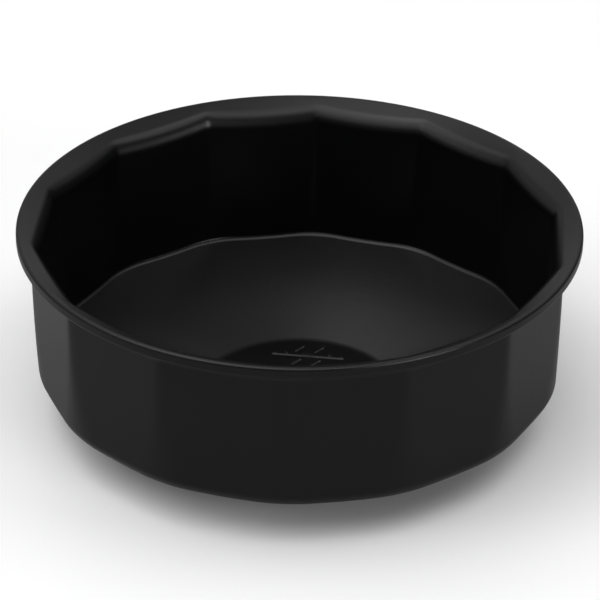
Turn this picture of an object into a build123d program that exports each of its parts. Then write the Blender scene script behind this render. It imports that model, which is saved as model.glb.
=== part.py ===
from build123d import *
import math
import os

# An end-cap oil filter wrench: one cup, pressed from a single blank of sheet steel.
# The mouth faces up (+Z). The origin is on the axis, on the underside of the centre disc,
# which is the lowest face. One corner between two flats points along +X.

# Driving dimensions, in millimetres and degrees
flat_count = 14
across_flats = 73.6        # socket size, flat to flat, half way up the wall
sheet = 1.6                # thickness of the blank
lip_reach = 4.45           # from the middle of a flat, half way up, out to the lip's edge
cup_height = 30.9          # underside of the centre disc to the top of the lip
disc_diameter = 30.2       # flat centre disc, inside
floor_fall = 6.4           # from the floor's edge at a flat down to the disc
wall_draft = 0.5           # each flat leans out this much towards the mouth
lip_angle = 25.0           # the lip rises outwards
inside_corner = 2.0        # between two flats, inside
floor_bend = 1.5           # inside bend, wall to floor
lip_bend = 1.4             # outside bend under the lip, wall to lip
disc_bend = 4.0            # inside bend, floor to disc
lip_rounding = 0.45        # on the sheared edge of the lip
drive_square = 9.6         # hole for a 3/8 inch square drive
drive_corner = 0.8
drive_lead = 0.25          # lead-in around the hole, on both faces
mark_angle = 73.0          # where the plain stamped marks stand on the disc
mark_inset = 4.9           # from the disc's edge in to the bar
mark_depth = 0.25
stroke_width = 0.4
bar_length = 11.2
tick_length = 2.2
tick_slant = 34.0          # from straight across the bar
tick_spacing = 3.0         # along the bar
tick_offset = 1.9          # from the bar to a tick's middle, on either side

# Derived sizes
disc_radius = disc_diameter / 2
flat_radius = across_flats / 2
lip_radius = flat_radius + lip_reach
beyond = 2 * lip_radius + cup_height    # further out and higher up than anything on the cup
floor_edge_low = 0.75 * floor_fall
floor_edge_high = (floor_fall + cup_height) / 2
floor_angle = math.atan(floor_fall / (flat_radius - disc_radius))
middle_height = (sheet + floor_fall + cup_height) / 2
lip_rise = math.tan(math.radians(lip_angle))
lip_thickness = sheet / math.cos(math.radians(lip_angle))
bar_radius = disc_radius - mark_inset
lip_peak = cup_height + lip_rounding * (lip_rise + lip_thickness / sheet - 1)


def flat_distance(height):
    """Distance from the axis to a flat's inner face at a height."""
    return flat_radius + (height - middle_height) * math.tan(math.radians(wall_draft))


def lip_top(radius):
    """Height of the lip's upper face at a radius, before its edge is rounded."""
    return lip_peak - (lip_radius - radius) * lip_rise


def pressed_form(skin):
    """A solid with the cup's inner outline (skin 0) or its outer outline (skin = sheet)."""
    disc_height = sheet - skin
    knee = disc_radius + skin * math.tan(floor_angle / 2)
    with BuildPart() as form:
        with BuildSketch() as plan:
            RegularPolygon(flat_distance(0) + skin, flat_count, major_radius=False)
            fillet(plan.vertices(), inside_corner + skin)
        extrude(amount=beyond, taper=-wall_draft)
        with BuildSketch(Plane.XZ) as section:
            with BuildLine():
                Polyline(
                    (0, disc_height),
                    (knee, disc_height),
                    (beyond, disc_height + (beyond - knee) * math.tan(floor_angle)),
                    (beyond, beyond),
                    (0, beyond),
                    close=True,
                )
            make_face()
            knee_corner = section.vertices().sort_by_distance((knee, 0, disc_height))[0]
            fillet(knee_corner, disc_bend + skin)
        revolve(axis=Axis.Z, mode=Mode.INTERSECT)
        # Only the edges between wall and floor have their middles at this height
        floor_edges = form.edges().filter_by_position(Axis.Z, floor_edge_low, floor_edge_high)
        fillet(floor_edges, floor_bend + skin)
    return form.part


with BuildPart() as wrench_cup:
    # Outer form, with a ring for the lip that is thicker than it ends up
    add(pressed_form(sheet))
    with BuildSketch(Plane.XZ):
        with BuildLine():
            Polyline(
                (disc_radius, lip_top(disc_radius) - lip_thickness),
                (lip_radius, lip_top(lip_radius) - lip_thickness),
                (lip_radius, beyond),
                (disc_radius, beyond),
                close=True,
            )
        make_face()
    revolve(axis=Axis.Z)
    fillet(wrench_cup.edges(Select.NEW), lip_bend)

    # Everything above the lip's upper face goes, then the inside
    with BuildSketch(Plane.XZ):
        with BuildLine():
            Polyline(
                (0, lip_top(0)),
                (beyond, lip_top(beyond)),
                (beyond, 2 * beyond),
                (0, 2 * beyond),
                close=True,
            )
        make_face()
    revolve(axis=Axis.Z, mode=Mode.SUBTRACT)
    add(pressed_form(0), mode=Mode.SUBTRACT)
    fillet(wrench_cup.edges(Select.NEW), lip_bend + sheet)
    rim_edges = wrench_cup.edges().filter_by(GeomType.CIRCLE).group_by(SortBy.RADIUS)[-1]
    fillet(rim_edges, lip_rounding)

    # Square drive hole with a lead-in on both faces
    with BuildSketch() as drive_plan:
        Rectangle(drive_square, drive_square)
        fillet(drive_plan.vertices(), drive_corner)
    extrude(amount=sheet, mode=Mode.SUBTRACT)
    chamfer(wrench_cup.edges(Select.LAST).filter_by(Axis.Z, reverse=True), drive_lead)

    # Plain marks stamped in the disc, inside: a bar across the radius, with two ticks on each side
    with BuildSketch(Plane.XY.offset(sheet)):
        with PolarLocations(bar_radius, 1, start_angle=mark_angle):
            SlotOverall(bar_length, stroke_width, rotation=90)
            with GridLocations(2 * tick_offset, tick_spacing, 2, 2):
                SlotOverall(tick_length, stroke_width, rotation=-tick_slant)
    extrude(amount=-mark_depth, mode=Mode.SUBTRACT)

wrench_cup.part.label = "wrench_cup"
os.makedirs("parts", exist_ok=True)
export_step(wrench_cup.part, "parts/wrench_cup.step")
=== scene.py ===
"""Builds the visible cup of an oil filter wrench, with its coating, in a plain studio."""

import math

import bmesh
import bpy
from bpy.props import FloatProperty, FloatVectorProperty, IntProperty, PointerProperty
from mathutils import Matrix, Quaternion, Vector


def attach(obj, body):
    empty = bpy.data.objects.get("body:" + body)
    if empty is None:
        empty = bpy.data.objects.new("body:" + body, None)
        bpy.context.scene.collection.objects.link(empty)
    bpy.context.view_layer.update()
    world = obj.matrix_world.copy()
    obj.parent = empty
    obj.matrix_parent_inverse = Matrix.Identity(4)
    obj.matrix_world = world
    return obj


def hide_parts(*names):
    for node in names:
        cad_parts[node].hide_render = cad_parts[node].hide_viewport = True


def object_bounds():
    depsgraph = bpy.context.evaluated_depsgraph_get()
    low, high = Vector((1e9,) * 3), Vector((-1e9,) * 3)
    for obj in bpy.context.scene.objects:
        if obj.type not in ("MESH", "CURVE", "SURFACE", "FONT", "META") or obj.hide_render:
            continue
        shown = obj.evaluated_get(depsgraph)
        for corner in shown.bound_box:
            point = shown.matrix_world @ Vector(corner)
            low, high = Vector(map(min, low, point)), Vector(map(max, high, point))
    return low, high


bl_info = {
    "name": "Oil Filter Wrench",
    "version": (1, 0, 0),
    "blender": (4, 5, 0),
    "location": "View3D > Sidebar > Filter Wrench",
    "description": "Builds a pressed-steel cap wrench for oil filters, its coating and a studio",
    "category": "Add Mesh",
}

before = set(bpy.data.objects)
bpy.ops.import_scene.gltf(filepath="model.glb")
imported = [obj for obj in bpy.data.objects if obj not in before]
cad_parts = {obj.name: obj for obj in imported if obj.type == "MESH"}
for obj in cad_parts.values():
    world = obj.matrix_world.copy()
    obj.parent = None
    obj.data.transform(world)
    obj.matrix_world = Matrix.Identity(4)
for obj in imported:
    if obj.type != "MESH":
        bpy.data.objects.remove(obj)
CAD_LOW, CAD_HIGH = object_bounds()
CUP_NODE = "wrench_cup"

# Mesh of the cup
BEND_STEPS = 8  # edges in each bend of the section
SECTION_PIECES = 60  # a section edge longer than the socket size over this is halved
SECTION_PASSES = 3
MERGE_DISTANCE = 1e-7
COLUMN_GATHERING = 0.8  # 0 leaves the columns evenly apart, 1 gathers them most at the corners
CORNER_FADE = 3  # power by which the extra corner radius dies out up the wall
LIP_ROOT = 0.6  # the flats begin to fade into the round lip this far along its bend
SQUARE_REACH = 0.48  # the drive square's pull ends at this share of hole plus disc radius

# Stamped marks, in half stroke widths from a stroke's centre line
MARK_PATCHES = (4, 2.2, 2.2)  # the mesh is cut once within each of these
MARK_TOP = 1.3
MARK_BOTTOM = 0.3
DISC_TOLERANCE = 0.01  # of the drive hole's rounding, to tell the disc's face from its edge

# Coating
NOISE_MEAN = 0.5
GRAIN_IN_ROUGHNESS = 0.8  # share of the roughness spread that also follows the grain

SENSOR_WIDTH = 36  # millimetres

# Degrees around from the camera's right, degrees up, width and height in metres, watts
SOFTBOXES = (
    (90, 14, 0.85, 0.45, 0.34),
    (135, 14, 0.85, 0.45, 0.30),
    (180, 14, 0.85, 0.45, 0.25),
    (225, 14, 0.55, 0.55, 0.10),
    (315, 14, 0.55, 0.55, 3.45),
    (22.5, 34, 0.75, 0.50, 0.35),
    (67.5, 34, 0.75, 0.50, 0.42),
    (112.5, 34, 0.75, 0.50, 0.36),
    (157.5, 34, 0.75, 0.50, 0.40),
    (202.5, 34, 0.60, 0.60, 1.10),
    (0, 56, 0.65, 0.65, 1.50),
    (90, 60, 1.90, 0.65, 1.15),
    (108, 56, 0.26, 0.60, 0.32),
    (180, 56, 0.80, 0.65, 1.50),
    (240, 56, 1.30, 1.30, 3.60),
    (150, 76, 0.60, 0.60, 0.73),
    (270, 76, 1.30, 1.20, 3.60),
)


# ---------------------------------------------------------------- settings


class CupSettings(bpy.types.PropertyGroup):
    """Sizes of the pressed cup"""

    flat_count: IntProperty(
        name="Flats",
        description="Number of flats around the socket",
        default=14,
        min=6,
    )
    across_flats: FloatProperty(
        name="Across Flats",
        description="Socket size, flat to flat, half way up the wall",
        default=0.0736,
        unit="LENGTH",
    )
    sheet: FloatProperty(
        name="Sheet",
        description="Thickness of the steel",
        default=0.0016,
        unit="LENGTH",
    )
    lip_radius: FloatProperty(
        name="Lip Radius",
        description="Axis to the lip's outer edge",
        default=CAD_HIGH.x,
        unit="LENGTH",
    )
    height: FloatProperty(
        name="Height",
        description="Underside of the disc to the lip's top",
        default=CAD_HIGH.z,
        unit="LENGTH",
    )
    disc_radius: FloatProperty(
        name="Disc Radius",
        description="Flat disc in the middle of the floor",
        default=0.0151,
        unit="LENGTH",
    )
    floor_fall: FloatProperty(
        name="Floor Fall",
        description="Drop of the floor from a flat to the disc",
        default=0.0064,
        unit="LENGTH",
    )
    lip_angle: FloatProperty(
        name="Lip Angle",
        description="How steeply the lip rises outwards",
        default=math.radians(25),
        unit="ROTATION",
    )
    wall_draft: FloatProperty(
        name="Wall Draft",
        description="Lean of each flat towards the mouth",
        default=math.radians(0.5),
        unit="ROTATION",
    )
    corner_bend: FloatProperty(
        name="Corner Bend",
        description="Inside radius between two flats at the mouth",
        default=0.0020,
        unit="LENGTH",
    )
    corner_spread: FloatProperty(
        name="Corner Spread",
        description="How much the corner radius grows from the mouth to the floor",
        default=0.0160,
        unit="LENGTH",
    )
    floor_bend: FloatProperty(
        name="Floor Bend",
        description="Inside radius from wall to floor",
        default=0.0008,
        unit="LENGTH",
    )
    lip_bend: FloatProperty(
        name="Lip Bend",
        description="Outside radius under the lip",
        default=0.0014,
        unit="LENGTH",
    )
    disc_bend: FloatProperty(
        name="Disc Bend",
        description="Inside radius from floor to disc",
        default=0.0040,
        unit="LENGTH",
    )
    lip_rounding: FloatProperty(
        name="Lip Rounding",
        description="Rounding of the lip's sheared edge",
        default=0.00045,
        unit="LENGTH",
    )
    drive_square: FloatProperty(
        name="Drive Square",
        description="Across the square drive hole",
        default=0.0096,
        unit="LENGTH",
    )
    drive_corner: FloatProperty(
        name="Drive Corner",
        description="Corner radius of the drive hole",
        default=0.0008,
        unit="LENGTH",
    )
    drive_lead: FloatProperty(
        name="Drive Lead",
        description="Rounding around the drive hole",
        default=0.00025,
        unit="LENGTH",
    )
    spokes_per_flat: IntProperty(
        name="Spokes per Flat",
        description="Mesh columns across each flat",
        default=24,
        min=4,
    )


class MarkSettings(bpy.types.PropertyGroup):
    """The plain marks stamped in the disc"""

    angle: FloatProperty(
        name="Angle",
        description="Where the marks stand around the disc",
        default=math.radians(73),
        unit="ROTATION",
    )
    bar_radius: FloatProperty(
        name="Bar Radius",
        description="Axis to the bar",
        default=0.0102,
        unit="LENGTH",
    )
    bar_length: FloatProperty(
        name="Bar Length",
        description="Length of the bar",
        default=0.0112,
        unit="LENGTH",
    )
    stroke: FloatProperty(
        name="Stroke",
        description="Width of the bar and the ticks",
        default=0.0004,
        unit="LENGTH",
    )
    tick_length: FloatProperty(
        name="Tick Length",
        description="Length of a tick",
        default=0.0022,
        unit="LENGTH",
    )
    tick_slant: FloatProperty(
        name="Tick Slant",
        description="Lean of a tick from straight across the bar",
        default=math.radians(34),
        unit="ROTATION",
    )
    tick_spacing: FloatProperty(
        name="Tick Spacing",
        description="Tick to tick along the bar",
        default=0.0030,
        unit="LENGTH",
    )
    tick_offset: FloatProperty(
        name="Tick Offset",
        description="Bar to the middle of a tick",
        default=0.0019,
        unit="LENGTH",
    )
    depth: FloatProperty(
        name="Depth",
        description="Depth of the stamping",
        default=0.00014,
        unit="LENGTH",
    )


class CoatingSettings(bpy.types.PropertyGroup):
    """The satin black coating"""

    colour: FloatVectorProperty(
        name="Colour",
        description="Colour of the coating",
        subtype="COLOR",
        size=3,
        default=(0.0012, 0.0013, 0.0015),
    )
    tint: FloatVectorProperty(
        name="Tint",
        description="Colour where the coating lies a little thinner",
        subtype="COLOR",
        size=3,
        default=(0.0019, 0.0019, 0.0020),
    )
    roughness: FloatProperty(
        name="Roughness",
        description="Mean roughness",
        subtype="FACTOR",
        default=0.30,
        min=0,
        max=1,
    )
    roughness_spread: FloatProperty(
        name="Roughness Spread",
        description="Change in roughness over the surface",
        default=0.06,
        min=0,
        max=1,
    )
    refraction: FloatProperty(
        name="Refraction",
        description="Index of refraction of the coating",
        default=1.376,
    )
    drift_size: FloatProperty(
        name="Drift Size",
        description="Size of the slow change in colour and roughness",
        default=0.018,
        unit="LENGTH",
    )
    peel_size: FloatProperty(
        name="Peel Size",
        description="Size of the orange peel",
        default=0.0011,
        unit="LENGTH",
    )
    peel_depth: FloatProperty(
        name="Peel Depth",
        description="Depth of the orange peel",
        default=0.000010,
        unit="LENGTH",
        precision=6,
    )
    grain_size: FloatProperty(
        name="Grain Size",
        description="Size of the fine grain",
        default=0.00022,
        unit="LENGTH",
        precision=6,
    )
    grain_depth: FloatProperty(
        name="Grain Depth",
        description="Depth of the fine grain",
        default=0.000004,
        unit="LENGTH",
        precision=6,
    )


class StageSettings(bpy.types.PropertyGroup):
    """Floor, lights and camera"""

    floor_colour: FloatVectorProperty(
        name="Floor Colour",
        description="Colour of the floor",
        subtype="COLOR",
        size=3,
        default=(0.90, 0.90, 0.90),
    )
    floor_shade: FloatVectorProperty(
        name="Floor Shade",
        description="Colour of the floor as the coating mirrors it, as if on a darker table",
        subtype="COLOR",
        size=3,
        default=(0.35, 0.35, 0.35),
    )
    floor_size: FloatProperty(
        name="Floor Size",
        description="Side of the floor",
        default=8.0,
        unit="LENGTH",
    )
    sky: FloatProperty(
        name="Sky",
        description="Strength of the even light all around",
        default=0.03,
    )
    wall_colour: FloatVectorProperty(
        name="Wall Colour",
        description="Colour behind the floor's edge",
        subtype="COLOR",
        size=3,
        default=(0.86, 0.86, 0.86),
    )
    light_gain: FloatProperty(
        name="Light Gain",
        description="Strength of all softboxes",
        default=1.5,
    )
    light_distance: FloatProperty(
        name="Light Distance",
        description="Each softbox to the point lit",
        default=1.2,
        unit="LENGTH",
    )
    camera_turn: FloatProperty(
        name="Camera Turn",
        description="Camera's turn around the cup",
        default=math.radians(-9.31),
        unit="ROTATION",
    )
    camera_rise: FloatProperty(
        name="Camera Rise",
        description="Camera's angle above the floor",
        default=math.radians(30.35),
        unit="ROTATION",
    )
    camera_distance: FloatProperty(
        name="Camera Distance",
        description="Camera to the point that it looks at",
        default=0.448,
        unit="LENGTH",
    )
    camera_lens: FloatProperty(
        name="Camera Lens",
        description="Focal length in millimetres",
        default=181.8,
    )
    camera_roll: FloatProperty(
        name="Camera Roll",
        description="Camera's lean to one side",
        default=math.radians(0.45),
        unit="ROTATION",
    )
    camera_shift: FloatProperty(
        name="Camera Shift",
        description="Sideways shift of the picture, in picture widths",
        default=0.0015,
    )
    look_height: FloatProperty(
        name="Look Height",
        description="Height of the point that the camera looks at",
        default=0.01756,
        unit="LENGTH",
    )


# ---------------------------------------------------------------- cup


def round_corner(section, vertex, radius):
    """Rounds one corner of the section to a radius."""
    ends = [edge.other_vert(vertex).co - vertex.co for edge in vertex.link_edges]
    turn = math.pi - ends[0].angle(ends[1])
    bmesh.ops.bevel(
        section,
        geom=[vertex],
        offset=radius * math.tan(turn / 2),
        offset_type="OFFSET",
        segments=BEND_STEPS,
        profile=0.5,
        affect="VERTICES",
        material=-1,
    )


def cup_section(cup):
    """Half of the cup's section through the middle of a flat, as a closed loop in the XZ plane."""
    rise = math.tan(cup.lip_angle)
    slant = math.cos(cup.lip_angle)
    peak = cup.height + cup.lip_rounding * (rise + 1 / slant - 1)
    flat = cup.across_flats / 2
    fall_angle = math.atan(cup.floor_fall / (flat - cup.disc_radius))
    knee = cup.disc_radius + cup.sheet * math.tan(fall_angle / 2)
    middle = (cup.sheet + cup.floor_fall + cup.height) / 2
    lean = math.tan(cup.wall_draft)
    fall = math.tan(fall_angle)

    def skin_corners(skin):
        """Where the wall meets floor and lip, at a distance outside the inner face."""
        base = flat + skin - middle * lean
        lip_level = peak - skin / slant
        floor_level = cup.sheet - skin
        pivot = cup.disc_radius if skin == 0 else knee
        low = (base + lean * (floor_level - pivot * fall)) / (1 - lean * fall)
        high = (base + lean * (lip_level - cup.lip_radius * rise)) / (1 - lean * rise)
        return (
            (low, floor_level + (low - pivot) * fall),
            (high, lip_level - (cup.lip_radius - high) * rise),
        )

    inner_low, inner_high = skin_corners(0)
    outer_low, outer_high = skin_corners(cup.sheet)
    hole = cup.drive_square / 2
    corners = [
        (hole, cup.sheet, cup.drive_lead),
        (cup.disc_radius, cup.sheet, cup.disc_bend),
        (*inner_low, cup.floor_bend),
        (*inner_high, cup.lip_bend + cup.sheet),
        (cup.lip_radius, peak, cup.lip_rounding),
        (cup.lip_radius, peak - cup.sheet / slant, cup.lip_rounding),
        (*outer_high, cup.lip_bend),
        (*outer_low, cup.floor_bend + cup.sheet),
        (knee, 0, cup.disc_bend + cup.sheet),
        (hole, 0, cup.drive_lead),
    ]
    section = bmesh.new()
    vertices = [section.verts.new((x, 0, z)) for x, z, _ in corners]
    for here, there in zip(vertices, vertices[1:] + vertices[:1]):
        section.edges.new((here, there))
    for vertex, (_, _, radius) in zip(vertices, corners):
        round_corner(section, vertex, radius)
    longest = cup.across_flats / SECTION_PIECES
    for _ in range(SECTION_PASSES):
        long_edges = [edge for edge in section.edges if edge.calc_length() > longest]
        bmesh.ops.subdivide_edges(section, edges=long_edges, cuts=1)
    return section


def rounded_polygon(angle, sides, inside_radius, corner_radius):
    """Distance from the centre to a polygon with rounded corners, one of them at angle 0."""
    half = math.pi / sides
    off_corner = abs((angle + half) % (2 * half) - half)
    flat_reach = (inside_radius - corner_radius) * math.tan(half)
    if inside_radius * math.tan(half - off_corner) <= flat_reach:
        return inside_radius / math.cos(half - off_corner)
    centre = (inside_radius - corner_radius) / math.cos(half)
    across = centre * math.sin(off_corner)
    return centre * math.cos(off_corner) + math.sqrt(corner_radius**2 - across**2)


def ramp(value, start, end):
    """0 at start, 1 at end, straight between."""
    return min(1.0, max(0.0, (value - start) / (end - start)))


def smooth(share):
    """Eases a share from 0 to 1 at both of its ends."""
    return share * share * (3 - 2 * share)


def press_flats(cup, shell):
    """Presses the flats and the square hole into the spun shell, along each point's radius."""
    flat = cup.across_flats / 2
    hole = cup.drive_square / 2
    half = math.pi / cup.flat_count
    lip_root = flat + cup.sheet + cup.lip_bend * LIP_ROOT
    lip_end = cup.lip_radius - cup.lip_rounding
    wall_foot = flat - 2 * cup.floor_bend
    floor_end = cup.disc_radius + cup.disc_bend
    hole_start = hole + 2 * cup.drive_lead
    hole_end = (hole + cup.disc_radius) * SQUARE_REACH
    wall_low = cup.sheet + cup.floor_fall
    wall_high = cup.height - (cup.lip_radius - flat) * math.tan(cup.lip_angle)
    floor_slope = cup.floor_fall / (flat - cup.disc_radius)
    lip_slope = math.tan(cup.lip_angle)
    for vertex in shell.verts:
        radius = math.hypot(vertex.co.x, vertex.co.y)
        angle = math.atan2(vertex.co.y, vertex.co.x)
        # Columns gather at the corners
        middle = math.floor(angle / (2 * half)) * 2 * half + half
        across = (angle - middle) / half
        gathered = math.sin(across * math.pi / 2)
        angle = middle + half * (across + COLUMN_GATHERING * (gathered - across))
        up_wall = ramp(vertex.co.z, wall_low, wall_high)
        if radius > wall_foot:
            share = 1 - ramp(radius, lip_root, lip_end)
        else:
            share = ramp(radius, floor_end, flat - cup.floor_bend)
        corner = cup.corner_bend + cup.corner_spread * (1 - up_wall) ** CORNER_FADE
        if radius > flat + cup.sheet / 2:
            corner += cup.sheet
        push = share * (rounded_polygon(angle, cup.flat_count, flat, corner) - flat)
        slope = floor_slope * (1 - up_wall) + lip_slope * up_wall
        square = rounded_polygon(angle - math.pi / 4, 4, hole, cup.drive_corner) - hole
        push_hole = square * (1 - ramp(radius, hole_start, hole_end))
        vertex.co.z += push * slope
        radius += push + push_hole
        vertex.co.x = radius * math.cos(angle)
        vertex.co.y = radius * math.sin(angle)


def stamp_marks(marks, cup, shell):
    """Presses a bar with two ticks on each side of it into the disc's upper face."""
    out = Vector((math.cos(marks.angle), math.sin(marks.angle)))
    side = Vector((-out.y, out.x))
    bar = out * marks.bar_radius
    strokes = [(bar, side, marks.bar_length)]
    lean = out * math.cos(marks.tick_slant) - side * math.sin(marks.tick_slant)
    for across in (-1, 1):
        for along in (-0.5, 0.5):
            from_bar = out * marks.tick_offset * across + side * marks.tick_spacing * along
            strokes.append((bar + from_bar, lean, marks.tick_length))

    def clearance(point):
        """Distance from a point to the nearest stroke's centre line."""
        gaps = []
        for middle, direction, length in strokes:
            offset = point - middle
            reach = (length - marks.stroke) / 2
            along = max(-reach, min(reach, offset.dot(direction)))
            gaps.append((offset - direction * along).length)
        return min(gaps)

    def on_disc(vertex):
        return abs(vertex.co.z - cup.sheet) < cup.drive_lead * DISC_TOLERANCE

    edge = marks.stroke / 2
    for closeness in MARK_PATCHES:
        near = [
            face
            for face in shell.faces
            if all(on_disc(vertex) for vertex in face.verts)
            and clearance(face.calc_center_median().xy) < edge * closeness
        ]
        rims = list({rim for face in near for rim in face.edges})
        bmesh.ops.subdivide_edges(shell, edges=rims, cuts=1, use_grid_fill=True)
    for vertex in shell.verts:
        if on_disc(vertex):
            inside = ramp(clearance(vertex.co.xy), edge * MARK_TOP, edge * MARK_BOTTOM)
            vertex.co.z -= marks.depth * smooth(inside)


class MESH_OT_press_wrench_cup(bpy.types.Operator):
    """Spins the cup's section, presses its flats, drive hole and marks, and coats it"""

    bl_idname = "mesh.press_wrench_cup"
    bl_label = "Press Wrench Cup"

    def execute(self, context):
        cup = context.scene.wrench_cup_settings
        section = cup_section(cup)
        bmesh.ops.spin(
            section,
            geom=section.verts[:] + section.edges[:],
            cent=(0, 0, 0),
            axis=(0, 0, 1),
            dvec=(0, 0, 0),
            angle=math.tau,
            steps=cup.flat_count * cup.spokes_per_flat,
            use_merge=True,
            use_duplicate=False,
        )
        press_flats(cup, section)
        stamp_marks(context.scene.wrench_mark_settings, cup, section)
        bmesh.ops.remove_doubles(section, verts=section.verts, dist=MERGE_DISTANCE)
        bmesh.ops.recalc_face_normals(section, faces=section.faces)
        for face in section.faces:
            face.smooth = True
        mesh = bpy.data.meshes.new("cup_shell")
        section.to_mesh(mesh)
        section.free()
        shell = bpy.data.objects.new("cup_shell", mesh)
        context.scene.collection.objects.link(shell)
        shell.modifiers.new("Flat faces lead", "WEIGHTED_NORMAL")
        mesh.materials.append(satin_black(context.scene.wrench_coating_settings))
        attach(shell, "root")
        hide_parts(CUP_NODE)
        return {"FINISHED"}


# ---------------------------------------------------------------- coating


class Field:
    """A socket that can be used in arithmetic. Each operation adds a Math node."""

    def __init__(self, shader, socket):
        self.shader = shader
        self.socket = socket

    def _math(self, operation, *values):
        return self.shader.node("ShaderNodeMath", {"operation": operation}, dict(enumerate(values)))

    def __add__(self, other):
        return self._math("ADD", self, other)

    __radd__ = __add__

    def __sub__(self, other):
        return self._math("SUBTRACT", self, other)

    def __mul__(self, other):
        return self._math("MULTIPLY", self, other)

    __rmul__ = __mul__


class Shader:
    """Builds the nodes of a material or a world."""

    def __init__(self, owner):
        owner.use_nodes = True
        self.tree = owner.node_tree
        self.tree.nodes.clear()

    def node(self, kind, settings, inputs, output=0):
        """Adds a node with its settings and its sockets' values or links, and gives an output."""
        node = self.tree.nodes.new(kind)
        for name, value in settings.items():
            setattr(node, name, value)
        for name, value in inputs.items():
            if isinstance(value, Field):
                self.tree.links.new(value.socket, node.inputs[name])
            else:
                node.inputs[name].default_value = value
        return Field(self, node.outputs[output]) if node.outputs else None


def satin_black(coating):
    """Black baked coating with a soft sheen, faint orange peel and fine grain."""
    material = bpy.data.materials.new("satin_black_coating")
    shader = Shader(material)
    place = shader.node("ShaderNodeTexCoord", {}, {}, output="Object")

    def noise(size, detail, roughness=0.5):
        return shader.node(
            "ShaderNodeTexNoise",
            {"noise_dimensions": "3D"},
            {"Vector": place, "Scale": 1 / size, "Detail": detail, "Roughness": roughness},
        )

    drift = noise(coating.drift_size, detail=2)
    peel = noise(coating.peel_size, detail=2)
    grain = noise(coating.grain_size, detail=3, roughness=0.6)
    colour = shader.node(
        "ShaderNodeMix",
        {"data_type": "RGBA"},
        {"Factor": drift, "A": (*coating.colour, 1), "B": (*coating.tint, 1)},
        output="Result",
    )
    unevenness = (drift - NOISE_MEAN) + GRAIN_IN_ROUGHNESS * (grain - NOISE_MEAN)
    roughness = coating.roughness + coating.roughness_spread * unevenness
    height = coating.peel_depth * peel + coating.grain_depth * grain
    bump = shader.node("ShaderNodeBump", {}, {"Strength": 1.0, "Distance": 1.0, "Height": height})
    surface = shader.node(
        "ShaderNodeBsdfPrincipled",
        {},
        {
            "Base Color": colour,
            "Roughness": roughness,
            "Metallic": 0.0,
            "IOR": coating.refraction,
            "Normal": bump,
        },
    )
    shader.node("ShaderNodeOutputMaterial", {}, {"Surface": surface})
    return material


# ---------------------------------------------------------------- stage


def heading(turn, rise):
    """Unit vector at an angle around from +X and an angle up."""
    level = math.cos(rise)
    return Vector((math.cos(turn) * level, math.sin(turn) * level, math.sin(rise)))


def add_softbox(width, height, energy, away, distance, aim):
    """A rectangular light at a distance from the cup, facing it."""
    light = bpy.data.lights.new("softbox", "AREA")
    light.shape = "RECTANGLE"
    light.size = width
    light.size_y = height
    light.energy = energy
    softbox = bpy.data.objects.new("softbox", light)
    softbox.location = aim + away * distance
    softbox.rotation_euler = away.to_track_quat("Z", "Y").to_euler()
    bpy.context.scene.collection.objects.link(softbox)


def pale_floor(stage):
    """Pale paper, which the coating mirrors as a darker table."""
    material = bpy.data.materials.new("pale_floor")
    shader = Shader(material)
    mirrored = shader.node("ShaderNodeLightPath", {}, {}, output="Is Glossy Ray")
    colour = shader.node(
        "ShaderNodeMix",
        {"data_type": "RGBA"},
        {"Factor": mirrored, "A": (*stage.floor_colour, 1), "B": (*stage.floor_shade, 1)},
        output="Result",
    )
    surface = shader.node("ShaderNodeBsdfDiffuse", {}, {"Color": colour})
    shader.node("ShaderNodeOutputMaterial", {}, {"Surface": surface})
    return material


def studio_world(stage):
    """Faint even light all around, seen by the camera as a pale wall."""
    world = bpy.data.worlds.new("studio")
    shader = Shader(world)
    seen = shader.node("ShaderNodeLightPath", {}, {}, output="Is Camera Ray")
    sky = shader.node("ShaderNodeBackground", {}, {"Color": (1, 1, 1, 1), "Strength": stage.sky})
    wall = shader.node("ShaderNodeBackground", {}, {"Color": (*stage.wall_colour, 1)})
    choice = shader.node("ShaderNodeMixShader", {}, {"Fac": seen, 1: sky, 2: wall})
    shader.node("ShaderNodeOutputWorld", {}, {"Surface": choice})
    return world


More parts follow.
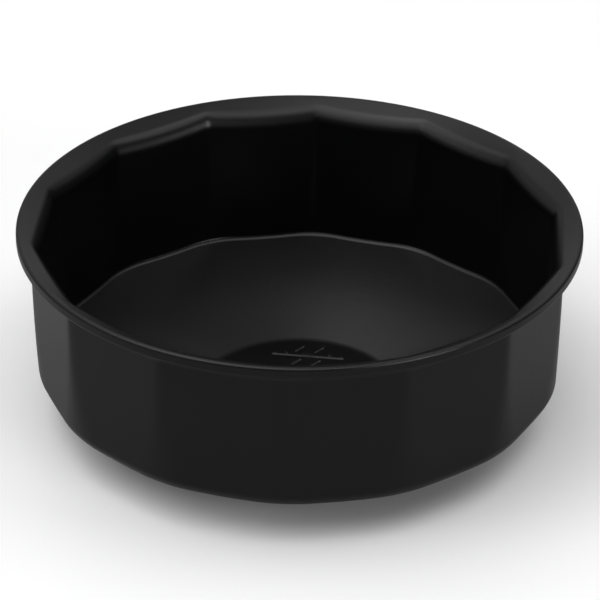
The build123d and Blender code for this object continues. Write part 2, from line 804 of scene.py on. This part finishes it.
class SCENE_OT_set_wrench_stage(bpy.types.Operator):
    """Sets the pale floor, the soft lights and the camera"""

    bl_idname = "scene.set_wrench_stage"
    bl_label = "Set Wrench Stage"

    def execute(self, context):
        stage = context.scene.wrench_stage_settings
        floor_mesh = bpy.data.meshes.new("floor")
        sheet = bmesh.new()
        bmesh.ops.create_grid(sheet, x_segments=1, y_segments=1, size=stage.floor_size / 2)
        sheet.to_mesh(floor_mesh)
        sheet.free()
        floor = bpy.data.objects.new("floor", floor_mesh)
        context.scene.collection.objects.link(floor)
        floor_mesh.materials.append(pale_floor(stage))

        context.scene.world = studio_world(stage)
        context.scene.view_settings.view_transform = "Standard"

        aim = Vector((0, 0, stage.look_height))
        turn = stage.camera_turn
        for around, rise, width, height, watts in SOFTBOXES:
            away = heading(math.radians(around) + turn, math.radians(rise))
            energy = watts * stage.light_gain
            add_softbox(width, height, energy, away, stage.light_distance, aim)

        camera = bpy.data.cameras.new("camera")
        camera.lens = stage.camera_lens
        camera.sensor_width = SENSOR_WIDTH
        camera.shift_x = stage.camera_shift
        viewer = bpy.data.objects.new("camera", camera)
        back = heading(turn - math.pi / 2, stage.camera_rise)
        viewer.location = aim + back * stage.camera_distance
        lean = Quaternion((0, 0, 1), stage.camera_roll)
        viewer.rotation_euler = (back.to_track_quat("Z", "Y") @ lean).to_euler()
        context.scene.collection.objects.link(viewer)
        context.scene.camera = viewer
        return {"FINISHED"}


class VIEW3D_PT_filter_wrench(bpy.types.Panel):
    """The wrench's sizes, its finish and the stage"""

    bl_idname = "VIEW3D_PT_filter_wrench"
    bl_label = "Filter Wrench"
    bl_space_type = "VIEW_3D"
    bl_region_type = "UI"
    bl_category = "Filter Wrench"

    def draw(self, context):
        for name in SETTINGS:
            box = self.layout.box()
            group = getattr(context.scene, name)
            for item in group.bl_rna.properties:
                if item.identifier not in {"rna_type", "name"}:
                    box.prop(group, item.identifier)
        self.layout.operator(MESH_OT_press_wrench_cup.bl_idname)
        self.layout.operator(SCENE_OT_set_wrench_stage.bl_idname)


SETTINGS = {
    "wrench_cup_settings": CupSettings,
    "wrench_mark_settings": MarkSettings,
    "wrench_coating_settings": CoatingSettings,
    "wrench_stage_settings": StageSettings,
}
CLASSES = (
    *SETTINGS.values(),
    MESH_OT_press_wrench_cup,
    SCENE_OT_set_wrench_stage,
    VIEW3D_PT_filter_wrench,
)


def register():
    for kind in CLASSES:
        bpy.utils.register_class(kind)
    for name, kind in SETTINGS.items():
        setattr(bpy.types.Scene, name, PointerProperty(type=kind))


def unregister():
    for name in SETTINGS:
        delattr(bpy.types.Scene, name)
    for kind in reversed(CLASSES):
        bpy.utils.unregister_class(kind)


def main():
    register()
    bpy.ops.scene.set_wrench_stage()
    bpy.ops.mesh.press_wrench_cup()


if __name__ == "__main__":
    main()
